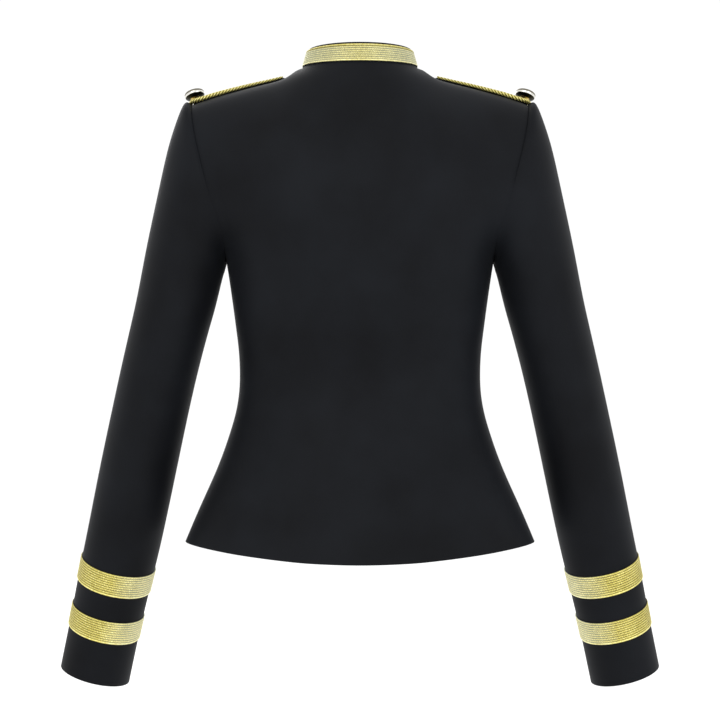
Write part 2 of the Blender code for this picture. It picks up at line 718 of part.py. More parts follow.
def build():
    """Make the whole jacket."""
    jacket = start_empty()
    cloth = make_material("Black wool cloth", *CLOTH_FINISH)
    braid = make_material("Pale gold braid", *BRAID_FINISH)
    metal = make_material("Button metal", *BUTTON_FINISH)
    back = body_half(front=False)
    front = body_half(front=True)
    rings, to_cuff = sleeve_rings(back, front)
    make_body(back, front, cloth, jacket)
    make_sleeves(rings, cloth, jacket)
    make_cuff_braids(rings, to_cuff, braid, jacket)
    make_collar(cloth, braid, jacket)
    rows = shoulder_surface(back, front, rings)
    make_epaulettes(rows, cloth, braid, metal, jacket)


if __name__ == "__main__":
    build()
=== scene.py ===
import math

import bmesh
import bpy
import numpy as np
from bpy.props import FloatProperty, FloatVectorProperty, IntProperty, PointerProperty
from mathutils import Matrix, Vector
from mathutils.bvhtree import BVHTree
from mathutils.kdtree import KDTree


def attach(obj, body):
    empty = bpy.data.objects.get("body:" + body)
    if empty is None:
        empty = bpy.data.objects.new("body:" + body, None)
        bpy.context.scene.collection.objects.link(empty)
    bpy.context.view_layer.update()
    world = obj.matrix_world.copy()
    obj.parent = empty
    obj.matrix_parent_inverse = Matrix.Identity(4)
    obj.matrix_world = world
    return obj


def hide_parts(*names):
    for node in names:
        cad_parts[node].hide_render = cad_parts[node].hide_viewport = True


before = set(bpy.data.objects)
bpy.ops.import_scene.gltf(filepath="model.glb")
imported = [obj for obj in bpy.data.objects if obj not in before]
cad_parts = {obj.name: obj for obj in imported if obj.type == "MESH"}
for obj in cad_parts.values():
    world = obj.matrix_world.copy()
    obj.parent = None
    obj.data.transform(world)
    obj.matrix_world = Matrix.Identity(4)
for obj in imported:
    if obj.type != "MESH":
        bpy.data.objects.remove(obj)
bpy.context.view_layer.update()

bl_info = {
    "name": "Braided Short Jacket",
    "version": (1, 0, 0),
    "blender": (4, 5, 0),
    "location": "3D View > Sidebar > Jacket",
    "description": "Sews a fitted black jacket with gold braid over its packed frame",
    "category": "Object",
}

MM = 0.001
HANDS = (("left", 1), ("right", -1))


def linear(code):
    """A colour written as sRGB hex, turned to the linear values that Blender uses."""
    levels = [int(code[i:i + 2], 16) / 255 for i in (1, 3, 5)]
    return [c / 12.92 if c <= 0.04045 else ((c + 0.055) / 1.055) ** 2.4 for c in levels]


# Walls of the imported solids: they tell a wall's two sides from its rim
CLOTH_WALL = 2.0 * MM
COLLAR_WALL = 2.4 * MM
EPAULETTE_WALL = 2.2 * MM
BRAID_WALL = 1.1 * MM

# Rounds in which a smoothed sheet is brought back onto its solid's points
FITTING_ROUNDS = 3

# A border that turns by more than this at a point is a corner of the pattern piece
SHARP_TURN = math.radians(32)

# How far the collar's edges are let out, so that its foot meets the neckline
COLLAR_LET_OUT = 0.6 * MM

# Distance from a seam over which its dip fades out
SEAM_PULL = 3.0 * MM

# Edges over these heights are seams, and those under them are hems
BODY_HEM_ZONE = -0.47
SLEEVE_HEM_ZONE = -0.5
NO_HEM = -1.0

# The gimp: how round a row and a stitch are (a power of a sine, 1 is a sine), how deep the groove between
# two stitches is in a row, how far a stitch leans and how far each row is set off from the one below
ROW_ROUNDNESS = 0.55
STITCH_ROUNDNESS = 0.6
STITCH_GROOVE = 0.55
STITCH_LEAN = 0.9
ROW_OFFSET = 0.37

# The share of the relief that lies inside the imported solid's face
RELIEF_SUNK = 0.85

# How fine the gimp is cut: subdivision levels of the band before it, steps across a row, which are fewer in
# the collar's narrower rows, and cuts in each step round the band
BRAID_LEVELS = 2
CUFF_ROW_STEPS = 6
COLLAR_ROW_STEPS = 5
CUTS_ALONG = 4

# Subdivision levels of the small shoulder tabs
EPAULETTE_LEVELS = 2

# How far a band's edges are turned in, which brings them to the cloth
BRAID_TURN_IN = BRAID_WALL + 0.5 * MM

# How much paler the braid is painted on the inner side of a cuff, as painted light for how the light falls
# there
CUFF_INNER_PAINTED_LIGHT = 0.22

# The shank button from its top down to its foot, spun round its axis. Each row has the distance from the
# axis and the height, as shares of the button's radius, but from SHANK_FROM on the height is a share of
# the whole height. A groove runs round the crown inside a raised ring, and the back narrows to the shank
BUTTON_SECTION = (
    (0.0, 0.0), (0.34, 0.004), (0.56, -0.03), (0.66, -0.075), (0.70, -0.10), (0.74, -0.075),
    (0.80, -0.02), (0.88, -0.005), (0.95, -0.04), (1.0, -0.13), (1.0, -0.24), (0.99, -0.34),
    (0.96, -0.42), (0.88, -0.50), (0.72, -0.56), (0.50, -0.60), (0.36, -0.62), (0.29, -0.66),
    (0.26, -0.74), (0.25, -0.88), (0.25, -0.96), (0.30, -1.0), (0.0, -1.0))
HEAD_DEPTH = 1.05
SHANK_FROM = -0.65

# Where a button's finishes meet, as shares of its radius: the shank's reach from the axis and its top, the
# rim's reach from the axis, and the rim's low and high edge
SHANK_REACH = 0.45
SHANK_TOP = -0.4
# The rim's band takes a near-white finish: polished metal, and partly a painted highlight
RIM_REACH = 0.9
RIM_LOW = -0.41
RIM_HIGH = -0.20

# The cord's finish turns this relief into painted shade in its grooves and a painted highlight on its crowns
# Where a cord strand's groove ends and how wide the change to its crown is, as shares of the cord's radius
GROOVE_REACH = 0.66
GROOVE_FADE = 0.3

# The studio lights, which all look at the jacket's middle: name, place, width and height, power, colour
LIGHTS = (
    ("Key", (0.9, 2.6, 1.2), (1.6, 1.6), 17.0, (1.0, 0.98, 0.95)),
    ("Fill", (-1.6, 2.0, 0.3), (1.4, 2.0), 10.0, (0.95, 0.97, 1.0)),
    ("Front", (0.6, -2.6, 1.0), (1.8, 1.8), 20.0, (1.0, 1.0, 1.0)),
)
JACKET_MIDDLE = (0.0, 0.0, -0.3)

# Soft troughs that the cloth falls into, the same on both halves. Each has the side that it is on
# (1 behind, -1 in front), its width and depth in mm, and its course: distance from the centre line
# and height in mm, with its strength there
BODY_CREASES = (
    (1, 15.0, 1.7, ((104, -70, 0.0), (107, -115, 1.0), (103, -175, 0.7), (93, -240, 0.8), (89, -290, 1.0),
                    (94, -350, 0.6), (108, -405, 1.0), (121, -455, 0.8), (131, -500, 0.3))),
    (1, 11.0, 0.9, ((122, -262, 0.0), (108, -276, 1.0), (92, -283, 0.2))),
    (1, 11.0, 0.8, ((124, -318, 0.0), (106, -312, 1.0), (90, -305, 0.2))),
    (1, 18.0, 1.0, ((52, -392, 0.0), (56, -440, 1.0), (60, -505, 0.8))),
    (-1, 15.0, 1.6, ((112, -75, 0.0), (110, -125, 1.0), (96, -175, 0.2), (82, -235, 0.6), (76, -290, 1.0),
                     (82, -350, 0.6), (96, -410, 0.9), (112, -490, 0.5))),
    (-1, 12.0, 0.9, ((122, -268, 0.0), (104, -280, 1.0), (84, -286, 0.2))),
    (-1, 18.0, 1.0, ((44, -395, 0.0), (46, -440, 1.0), (50, -495, 0.8))),
)
SLEEVE_CREASES = (
    (1, 11.0, 1.3, ((158, -196, 0.0), (172, -176, 1.0), (182, -150, 0.3))),
    (1, 12.0, 1.3, ((182, -345, 0.0), (202, -352, 1.0), (226, -348, 0.5), (244, -336, 0.0))),
    (1, 10.0, 1.0, ((190, -380, 0.0), (206, -376, 1.0), (226, -366, 0.2))),
    (1, 18.0, 0.9, ((232, -420, 0.0), (244, -460, 1.0), (256, -500, 0.0))),
    (-1, 12.0, 1.4, ((160, -200, 0.0), (176, -178, 1.0), (186, -145, 0.3))),
    (-1, 12.0, 1.3, ((186, -340, 0.0), (206, -350, 1.0), (230, -346, 0.4))),
    (-1, 11.0, 1.1, ((194, -385, 0.0), (212, -380, 1.0), (234, -366, 0.2))),
)


class JacketCloth(bpy.types.PropertyGroup):
    """The black suiting and how it is sewn."""

    thickness: FloatProperty(
        name="Cloth thickness", description="Thickness of the suiting with its fusing",
        default=1.5 * MM, min=0.0005, max=0.003, subtype="DISTANCE", unit="LENGTH")
    edge: FloatProperty(
        name="Seam edge radius", description="How round the cloth turns at a seam or hem",
        default=0.35 * MM, min=0.0001, max=0.001, subtype="DISTANCE", unit="LENGTH")
    let_out: FloatProperty(
        name="Seam allowance", description="How far each edge reaches towards the next piece",
        default=0.55 * MM, min=0.0, max=0.001, subtype="DISTANCE", unit="LENGTH")
    seam_dip: FloatProperty(
        name="Seam dip", description="How far the cloth is drawn in beside a seam",
        default=0.5 * MM, min=0.0, max=0.003, subtype="DISTANCE", unit="LENGTH")
    crease: FloatProperty(
        name="Crease strength", description="Strength of the soft troughs", default=1.0, min=0.0, max=2.0,
        subtype="FACTOR")
    levels: IntProperty(
        name="Smoothing", description="Subdivision levels of the cloth", default=3, min=1, max=3)
    shade: FloatVectorProperty(
        name="Shade", description="Darkest tone of the suiting", subtype="COLOR", default=linear("#0c0d10"),
        min=0.0, max=1.0)
    light: FloatVectorProperty(
        name="Light", description="Lightest tone of the suiting", subtype="COLOR", default=linear("#14161a"),
        min=0.0, max=1.0)


class JacketBraid(bpy.types.PropertyGroup):
    """The flat gold braid on the collar and cuffs."""

    cuff_rows: IntProperty(
        name="Cuff rows", description="Rows of gimp in a cuff band", default=10, min=4, max=16)
    collar_rows: IntProperty(
        name="Collar rows", description="Rows of gimp in the collar band", default=8, min=4, max=16)
    stitch: FloatProperty(
        name="Stitch", description="Length of one slanted stitch", default=2.6 * MM, min=0.001, max=0.006,
        subtype="DISTANCE", unit="LENGTH")
    relief: FloatProperty(
        name="Relief", description="How far a row stands over the groove beside it", default=0.75 * MM,
        min=0.0001, max=0.0015, subtype="DISTANCE", unit="LENGTH")
    # Painted shade: the dark tone that the braid and the cord are given down in their grooves
    groove: FloatVectorProperty(
        name="Groove", description="Tone of the thread down in the grooves", subtype="COLOR",
        default=linear("#50471f"), min=0.0, max=1.0)
    thread: FloatVectorProperty(
        name="Thread", description="Tone of the gold thread", subtype="COLOR", default=linear("#d6c96a"),
        min=0.0, max=1.0)
    # Painted highlight: the pale tone that the braid and the cord are given on their raised tops and glints
    crown: FloatVectorProperty(
        name="Crown", description="Tone where the thread is rubbed bright", subtype="COLOR",
        default=linear("#fffabd"), min=0.0, max=1.0)


class JacketCord(bpy.types.PropertyGroup):
    """The twisted cord round each epaulette."""

    strand: FloatProperty(
        name="Strand radius", description="Radius of one strand", default=1.12 * MM, min=0.0005, max=0.003,
        subtype="DISTANCE", unit="LENGTH")
    orbit: FloatProperty(
        name="Strand offset", description="Distance of a strand's middle from the cord's", default=1.30 * MM,
        min=0.0005, max=0.003, subtype="DISTANCE", unit="LENGTH")
    lead: FloatProperty(
        name="Lead", description="Length in which a strand goes round once", default=11.1 * MM, min=0.004,
        max=0.03, subtype="DISTANCE", unit="LENGTH")
    strands: IntProperty(name="Strands", description="Strands in the cord", default=3, min=2, max=4)
    end_size: FloatProperty(
        name="End size", description="Size of the cord where it runs in under the collar, against its own",
        default=0.5, min=0.2, max=1.0, subtype="FACTOR")
    taper: FloatProperty(
        name="Taper", description="Length over which the cord flattens towards its ends", default=75.0 * MM,
        min=0.005, max=0.1, subtype="DISTANCE", unit="LENGTH")


class JacketButton(bpy.types.PropertyGroup):
    """The shank buttons on the epaulettes."""

    segments: IntProperty(
        name="Segments", description="Steps round a button", default=72, min=16, max=128)
    # Painted highlight: the near-white tone of the rim's band stands for its bright reflection as well as
    # polished metal
    rim: FloatVectorProperty(
        name="Rim", description="Tone of the polished rim", subtype="COLOR", default=linear("#f0eee6"),
        min=0.0, max=1.0)
    back: FloatVectorProperty(
        name="Back", description="Tone of the dark back of the head", subtype="COLOR",
        default=linear("#2e2b1c"), min=0.0, max=1.0)
    shank: FloatVectorProperty(
        name="Shank", description="Tone of the gilt shank", subtype="COLOR", default=linear("#d8bd72"),
        min=0.0, max=1.0)
    crown: FloatVectorProperty(
        name="Crown", description="Tone of the worn crown", subtype="COLOR", default=linear("#7d786a"),
        min=0.0, max=1.0)


class JacketStudio(bpy.types.PropertyGroup):
    """The floor, lights and camera."""

    distance: FloatProperty(
        name="Camera distance", description="Camera to the jacket's middle", default=2.6, min=1.0, max=8.0,
        subtype="DISTANCE", unit="LENGTH")
    height: FloatProperty(
        name="Camera height", description="Height of the camera over the origin", default=-0.304, min=-2.0,
        max=2.0, subtype="DISTANCE", unit="LENGTH")
    lens: FloatProperty(
        name="Lens", description="Focal length on a 36 mm sensor, in millimetres", default=121.5, min=20.0,
        max=300.0)
    floor_height: FloatProperty(
        name="Floor height", description="Height of the floor", default=-0.78, min=-3.0, max=-0.66,
        subtype="DISTANCE", unit="LENGTH")
    floor_tone: FloatVectorProperty(
        name="Floor", description="Tone of the floor", subtype="COLOR", default=(1.0, 1.0, 1.0), min=0.0,
        max=1.0)
    sky: FloatProperty(
        name="Sky", description="Strength of the even light from all round", default=1.04, min=0.0, max=5.0)


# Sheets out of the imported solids


def merged(node):
    """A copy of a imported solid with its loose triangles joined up."""
    solid = bmesh.new()
    solid.from_mesh(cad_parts[node].data)
    bmesh.ops.remove_doubles(solid, verts=solid.verts, dist=2e-5)
    return solid


def backed_faces(solid, wall):
    """The faces with the wall's other side straight behind them, which leaves out the rim."""
    tree = BVHTree.FromBMesh(solid)
    backed = set()
    for face in solid.faces:
        start = face.calc_center_median() - face.normal * 1e-5
        place, normal, _, depth = tree.ray_cast(start, -face.normal, wall * 1.5)
        if place is not None and depth > wall * 0.5 and normal.dot(face.normal) < -0.5:
            backed.add(face)
    return backed


def regions(faces):
    """Groups of those faces that hang together."""
    left = set(faces)
    found = []
    while left:
        todo = [left.pop()]
        region = list(todo)
        while todo:
            face = todo.pop()
            for edge in face.edges:
                for other in edge.link_faces:
                    if other in left:
                        left.discard(other)
                        region.append(other)
                        todo.append(other)
        found.append(region)
    return found


def openness(region):
    """How much a region's faces look away from its middle: more on a wall's outer side."""
    areas = np.array([f.calc_area() for f in region])
    middles = np.array([f.calc_center_median() for f in region])
    normals = np.array([f.normal for f in region])
    centre = (middles * areas[:, None]).sum(0) / areas.sum()
    return float((((middles - centre) * normals).sum(1) * areas).sum())


def neighbours(face, among):
    """The faces of a set that share an edge with a face."""
    return [other for edge in face.edges for other in edge.link_faces if other is not face and other in among]


def tidied(side):
    """The side with the odd corner triangle that the rays missed, and without the rim's own."""
    side = set(side)
    for face in list(side):
        near = neighbours(face, side)
        if near and all(face.normal.dot(other.normal) < 0.5 for other in near):
            side.discard(face)
    around = {other for face in side for edge in face.edges for other in edge.link_faces}
    for face in around - side:
        if any(face.normal.dot(other.normal) > 0.94 for other in neighbours(face, side)):
            side.add(face)
    return side


def outer_sheet(node, wall):
    """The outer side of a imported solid's wall, as one sheet of quads."""
    solid = merged(node)
    sides = sorted(regions(backed_faces(solid, wall)), key=lambda r: -sum(f.calc_area() for f in r))
    keep = tidied(max(sides[:2], key=openness))
    bmesh.ops.delete(solid, geom=[f for f in solid.faces if f not in keep], context="FACES")
    bmesh.ops.join_triangles(
        solid, faces=solid.faces, angle_face_threshold=math.pi, angle_shape_threshold=math.pi,
        topology_influence=2.0)
    return solid


def keep_turns(sheet):
    """Marks the border points where a pattern piece turns sharply, such as the neck point."""
    layer = sheet.verts.layers.float.new("crease_vert")
    for vert in sheet.verts:
        rim = [e.other_vert(vert).co - vert.co for e in vert.link_edges if e.is_boundary]
        if len(rim) == 2 and math.pi - rim[0].angle(rim[1]) > SHARP_TURN:
            vert[layer] = 1.0


def smoothed(sheet, levels):
    """The sheet as a smooth surface of that many subdivision levels, through the sheet's own points."""
    data = bpy.data.meshes.new("sheet")
    keep_turns(sheet)
    sheet.to_mesh(data)
    sheet.free()
    holder = bpy.data.objects.new("sheet", data)
    bpy.context.collection.objects.link(holder)
    smooth = holder.modifiers.new("Smooth", "SUBSURF")
    smooth.levels = levels
    smooth.render_levels = levels
    smooth.boundary_smooth = "PRESERVE_CORNERS"
    wanted = np.array([v.co for v in data.vertices])
    cage = wanted.copy()
    for _ in range(FITTING_ROUNDS):
        drawn = holder.evaluated_get(bpy.context.evaluated_depsgraph_get()).data.vertices
        cage += wanted - np.array([v.co for v in drawn[:len(wanted)]])
        data.vertices.foreach_set("co", cage.ravel())
        data.update()
        holder.update_tag()
    fine = bmesh.new()
    fine.from_object(holder, bpy.context.evaluated_depsgraph_get())
    bpy.data.objects.remove(holder)
    bpy.data.meshes.remove(data)
    fine.normal_update()
    return fine


def placed(sheet, name, materials):
    """A finished mesh as an object of the scene."""
    data = bpy.data.meshes.new(name)
    sheet.to_mesh(data)
    sheet.free()
    for material in materials:
        data.materials.append(material)
    data.shade_smooth()
    piece = bpy.data.objects.new(name, data)
    bpy.context.collection.objects.link(piece)
    return piece


# Shaping


def points_of(sheet):
    """The sheet's points and normals as arrays."""
    points = np.array([v.co for v in sheet.verts])
    normals = np.array([v.normal for v in sheet.verts])
    return points, normals


def move_points(sheet, points):
    """Puts the sheet's points there."""
    for vert, place in zip(sheet.verts, points):
        vert.co = place
    sheet.normal_update()


def let_out(sheet, reach):
    """Moves the sheet's border out along the cloth, so that it meets the next piece at its seam."""
    moves = {}
    for vert in sheet.verts:
        if vert.is_boundary:
            inside = [e for e in vert.link_edges if not e.is_boundary]
            ways = [(vert.co - e.other_vert(vert).co).normalized() for e in inside or vert.link_edges]
            moves[vert] = sum(ways, Vector()) * reach / max(1, len(inside))
    for vert, way in moves.items():
        vert.co += way
    sheet.normal_update()


def crease_depth(points, normals, crease):
    """How deep each point lies in one soft trough, in metres."""
    facing, width, depth, course = crease
    flat = np.column_stack([np.abs(points[:, 0]), points[:, 2]]) / MM
    course = np.array(course, dtype=float)
    nearest = np.full(len(flat), np.inf)
    strength = np.zeros(len(flat))
    for start, end in zip(course, course[1:]):
        way = end[:2] - start[:2]
        share = np.clip(((flat - start[:2]) @ way) / (way @ way), 0, 1)
        gap = np.linalg.norm(flat - start[:2] - share[:, None] * way, axis=1)
        closer = gap < nearest
        nearest[closer] = gap[closer]
        strength[closer] = (start[2] + (end[2] - start[2]) * share)[closer]
    side = np.clip(normals[:, 1] * facing * 2.5, 0, 1)
    return depth * MM * strength * side * np.exp(-(nearest / width) ** 2)


def fall_of_cloth(points, normals, creases, strength):
    """The points with the troughs pressed in."""
    depth = np.zeros(len(points))
    for crease in creases:
        depth += crease_depth(points, normals, crease)
    return points - normals * (depth * strength)[:, None]


def tree_of(places):
    """A search tree over places, numbered in their order."""
    tree = KDTree(len(places))
    for index, place in enumerate(places):
        tree.insert(place, index)
    tree.balance()
    return tree


def seam_distance(sheet, hem_zone):
    """Each point's distance from the sheet's nearest edge that is a seam and not a hem."""
    border = [v for v in sheet.verts if v.is_boundary and v.co.z > hem_zone]
    tree = tree_of([v.co for v in border])
    return np.array([tree.find(v.co)[2] for v in sheet.verts])


def wrap_map(sheet, top, low, zero):
    """The cloth's own map in metres: round the axis from top to low, and along it."""
    top, low, zero = Vector(top), Vector(low), Vector(zero)
    axis = (low - top).normalized()
    zero = (zero - axis * zero.dot(axis)).normalized()
    side = axis.cross(zero)
    turns = {}
    radii = []
    for vert in sheet.verts:
        arm = vert.co - top
        arm -= axis * arm.dot(axis)
        turns[vert] = math.atan2(arm.dot(side), arm.dot(zero))
        radii.append(arm.length)
    radius = sum(radii) / len(radii)
    ups = {vert: (vert.co - top).dot(axis) for vert in sheet.verts}
    lay_map(sheet, "Cloth", turns, radius, ups)


def lay_map(sheet, name, turns, radius, ups):
    """A map from each point's turn round an axis and its place along it, unbroken across each face."""
    layer = sheet.loops.layers.uv.new(name)
    for face in sheet.faces:
        first = turns[face.verts[0]]
        for loop in face.loops:
            turn = turns[loop.vert]
            turn += math.tau * round((first - turn) / math.tau)
            loop[layer].uv = (turn * radius, ups[loop.vert])


def sew(piece, cloth):
    """Gives a sheet its cloth's thickness and its rounded edges."""
    wall = piece.modifiers.new("Cloth thickness", "SOLIDIFY")
    wall.thickness = cloth.thickness
    wall.offset = -1.0
    wall.use_even_offset = False
    turned = piece.modifiers.new("Turned edge", "BEVEL")
    turned.width = cloth.edge
    turned.segments = 3
    turned.limit_method = "ANGLE"
    turned.angle_limit = math.radians(55)
    turned.profile = 0.5
    turned.harden_normals = False


# Materials


def add(tree, kind, settings=None, links=None):
    """One node with its settings and the sockets that feed it."""
    made = tree.nodes.new(kind)
    for key, value in (settings or {}).items():
        if isinstance(key, int) or key in made.inputs:
            made.inputs[key].default_value = value
        else:
            setattr(made, key, value)
    for key, socket in (links or {}).items():
        tree.links.new(socket, made.inputs[key])
    return made


def new_material(name, settings):
    """A material with its shader set, and the tree and shader to build on."""
    material = bpy.data.materials.new(name)
    material.use_nodes = True
    tree = material.node_tree
    shader = tree.nodes["Principled BSDF"]
    for key, value in settings.items():
        shader.inputs[key].default_value = value
    return material, tree, shader


def ramp(tree, source, stops):
    """A colour ramp over a value: stops of position and colour."""
    made = add(tree, "ShaderNodeValToRGB", links={"Fac": source})
    points = made.color_ramp.elements
    while len(points) < len(stops):
        points.new(0.5)
    for point, (position, colour) in zip(points, stops):
        point.position = position
        point.color = (*colour, 1.0)
    return made.outputs["Color"]


# Blender's wave texture goes through one band in this many units at scale 1
WAVE_BAND = math.tau / 20


def suiting(cloth):
    """Worsted suiting, woven in a fine twill and pressed: near black, with a soft satin bloom.

    The real twill is about 0.5 mm, too fine for the render, so its ribs are drawn 1.9 mm apart.
    """
    material, tree, shader = new_material("Black worsted suiting", {
        "Roughness": 0.60, "Specular IOR Level": 0.085, "Sheen Weight": 0.02, "Sheen Roughness": 0.45,
        "Sheen Tint": (0.75, 0.78, 0.86, 1.0)})
    place = add(tree, "ShaderNodeTexCoord")
    own = add(tree, "ShaderNodeUVMap", {"uv_map": "Cloth"})
    drift = add(tree, "ShaderNodeTexNoise", {"Scale": 11.0, "Detail": 3.0, "Roughness": 0.5},
                {"Vector": place.outputs["Object"]})
    fibre = add(tree, "ShaderNodeTexNoise", {"Scale": 900.0, "Detail": 2.0, "Roughness": 0.6},
                {"Vector": place.outputs["Object"]})
    slant = add(tree, "ShaderNodeMapping", {"Rotation": (0.0, 0.0, math.radians(27))},
                {"Vector": own.outputs["UV"]})
    twill = add(tree, "ShaderNodeTexWave",
                {"Scale": WAVE_BAND / (1.9 * MM), "Distortion": 0.6, "Detail": 1.0},
                {"Vector": slant.outputs["Vector"]})
    blend = add(tree, "ShaderNodeMath", {"operation": "MULTIPLY_ADD", 1: 0.35},
                {0: fibre.outputs["Fac"], 2: drift.outputs["Fac"]})
    tone = ramp(tree, blend.outputs["Value"], ((0.45, cloth.shade), (0.85, cloth.light)))
    tree.links.new(tone, shader.inputs["Base Color"])
    ribs = add(tree, "ShaderNodeBump", {"Strength": 0.10, "Distance": 0.15 * MM},
               {"Height": twill.outputs["Fac"]})
    press = add(tree, "ShaderNodeBump", {"Strength": 0.25, "Distance": 1.0 * MM},
                {"Height": drift.outputs["Fac"], "Normal": ribs.outputs["Normal"]})
    tree.links.new(press.outputs["Normal"], shader.inputs["Normal"])
    return material


def gimp_thread(braid):
    """Gilt gimp, metal-wrapped thread over a cotton core: pale gold with painted groove shade, highlights and
    side light.

    The wrapping wire is about 0.15 mm, and is drawn 0.55 mm apart to show at all.
    """
    material, tree, shader = new_material("Gilt gimp braid", {
        "Metallic": 0.72, "Roughness": 0.42})
    own = add(tree, "ShaderNodeUVMap", {"uv_map": "Braid"})
    place = add(tree, "ShaderNodeTexCoord")
    height = add(tree, "ShaderNodeAttribute", {"attribute_name": "relief"})
    tone = add(tree, "ShaderNodeAttribute", {"attribute_name": "tone"})
    # Painted glints: fine noise that lifts the thread's colour towards the pale tone as small highlights
    glints = add(tree, "ShaderNodeTexNoise", {"Scale": 520.0, "Detail": 2.0, "Roughness": 0.6},
                 {"Vector": place.outputs["Object"]})
    drift = add(tree, "ShaderNodeTexNoise", {"Scale": 45.0, "Detail": 2.0},
                {"Vector": place.outputs["Object"]})
    cloudy = add(tree, "ShaderNodeMath", {"operation": "MULTIPLY", 1: 0.2}, {0: drift.outputs["Fac"]})
    # The blend named worn is painted light: low relief gives painted groove shade, high relief and glints
    # painted highlights
    raised = add(tree, "ShaderNodeMath", {"operation": "MULTIPLY_ADD", 1: 0.55},
                 {0: height.outputs["Fac"], 2: cloudy.outputs["Value"]})
    worn = add(tree, "ShaderNodeMath", {"operation": "MULTIPLY_ADD", 1: 0.5},
               {0: glints.outputs["Fac"], 2: raised.outputs["Value"]})
    gold = ramp(tree, worn.outputs["Value"],
                ((0.38, braid.groove), (0.82, braid.thread), (1.0, braid.crown)))
    darker = add(tree, "ShaderNodeMix", {"data_type": "RGBA", "blend_type": "MULTIPLY", 0: 1.0},
                 {6: gold, 7: tone.outputs["Color"]})
    # Painted side light: where the attribute is high, the gold is screened paler and cooler
    painted_light = add(tree, "ShaderNodeAttribute", {"attribute_name": "painted_side_light"})
    share = add(tree, "ShaderNodeMath", {"operation": "MULTIPLY", 1: 0.8},
                {0: painted_light.outputs["Fac"]})
    side_light_mix = add(tree, "ShaderNodeMix",
                 {"data_type": "RGBA", "blend_type": "SCREEN", 7: (0.24, 0.32, 0.32, 1.0)},
                 {0: share.outputs["Value"], 6: darker.outputs[2]})
    tree.links.new(side_light_mix.outputs[2], shader.inputs["Base Color"])
    lean = add(tree, "ShaderNodeMapping", {"Rotation": (0.0, 0.0, math.radians(35))},
               {"Vector": own.outputs["UV"]})
    wire = add(tree, "ShaderNodeTexWave", {"Scale": WAVE_BAND / (0.55 * MM), "Distortion": 0.5},
               {"Vector": lean.outputs["Vector"]})
    fine = add(tree, "ShaderNodeBump", {"Strength": 0.35, "Distance": 0.12 * MM},
               {"Height": wire.outputs["Fac"]})
    tree.links.new(fine.outputs["Normal"], shader.inputs["Normal"])
    return material


def twisted_thread(braid):
    """Gilt cord thread, tightly twisted: brighter than the braid, with fine strands across it."""
    material, tree, shader = new_material("Gilt twisted cord", {"Metallic": 0.7, "Roughness": 0.38})
    place = add(tree, "ShaderNodeTexCoord")
    glints = add(tree, "ShaderNodeTexNoise", {"Scale": 700.0, "Detail": 2.0, "Roughness": 0.6},
                 {"Vector": place.outputs["Object"]})
    # Painted light: the relief blend named worn paints shade between the strands and highlights on their
    # crowns and glints
    deep = add(tree, "ShaderNodeAttribute", {"attribute_name": "relief"})
    raised = add(tree, "ShaderNodeMath", {"operation": "MULTIPLY", 1: 0.6}, {0: deep.outputs["Fac"]})
    worn = add(tree, "ShaderNodeMath", {"operation": "MULTIPLY_ADD", 1: 0.4},
               {0: glints.outputs["Fac"], 2: raised.outputs["Value"]})
    gold = ramp(tree, worn.outputs["Value"], ((0.3, braid.groove), (0.7, braid.thread), (0.95, braid.crown)))
    tree.links.new(gold, shader.inputs["Base Color"])
    fine = add(tree, "ShaderNodeBump", {"Strength": 0.3, "Distance": 0.1 * MM},
               {"Height": glints.outputs["Fac"]})
    tree.links.new(fine.outputs["Normal"], shader.inputs["Normal"])
    return material


def button_metal(name, colour, rough, spots):
    """Stamped and plated brass: it shines or is toned dark, dulled by fine handling marks.

    The marks take the colour down to the share that spots gives.
    """
    material, tree, shader = new_material(name, {"Metallic": 1.0, "Roughness": rough})
    place = add(tree, "ShaderNodeTexCoord")
    marks = add(tree, "ShaderNodeTexNoise", {"Scale": 420.0, "Detail": 4.0, "Roughness": 0.65},
                {"Vector": place.outputs["Object"]})
    tone = ramp(tree, marks.outputs["Fac"], ((0.35, [c * spots for c in colour]), (0.65, colour)))
    tree.links.new(tone, shader.inputs["Base Color"])
    rub = add(tree, "ShaderNodeMapRange", {"To Min": rough * 0.7, "To Max": min(1.0, rough * 1.5)},
              {"Value": marks.outputs["Fac"]})
    tree.links.new(rub.outputs["Result"], shader.inputs["Roughness"])
    fine = add(tree, "ShaderNodeBump", {"Strength": 0.15, "Distance": 0.1 * MM},
               {"Height": marks.outputs["Fac"]})
    tree.links.new(fine.outputs["Normal"], shader.inputs["Normal"])
    return material


def floor_card(studio):
    """Matt studio card: pale, with the faintest mottle."""
    material, tree, shader = new_material("Matt studio card", {"Roughness": 0.9, "Specular IOR Level": 0.2})
    place = add(tree, "ShaderNodeTexCoord")
    mottle = add(tree, "ShaderNodeTexNoise", {"Scale": 6.0, "Detail": 2.0},
                 {"Vector": place.outputs["Object"]})
    pale = list(studio.floor_tone)
    tone = ramp(tree, mottle.outputs["Fac"], ((0.3, [c * 0.985 for c in pale]), (0.7, pale)))
    tree.links.new(tone, shader.inputs["Base Color"])
    return material


def finish_of(name, make, *settings):
    """A finish that several pieces share, made the first time that it is asked for."""
    return bpy.data.materials.get(name) or make(*settings)


def belongs(piece, node):
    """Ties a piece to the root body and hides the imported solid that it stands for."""
    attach(piece, "root")
    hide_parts(node)


# Cloth pieces


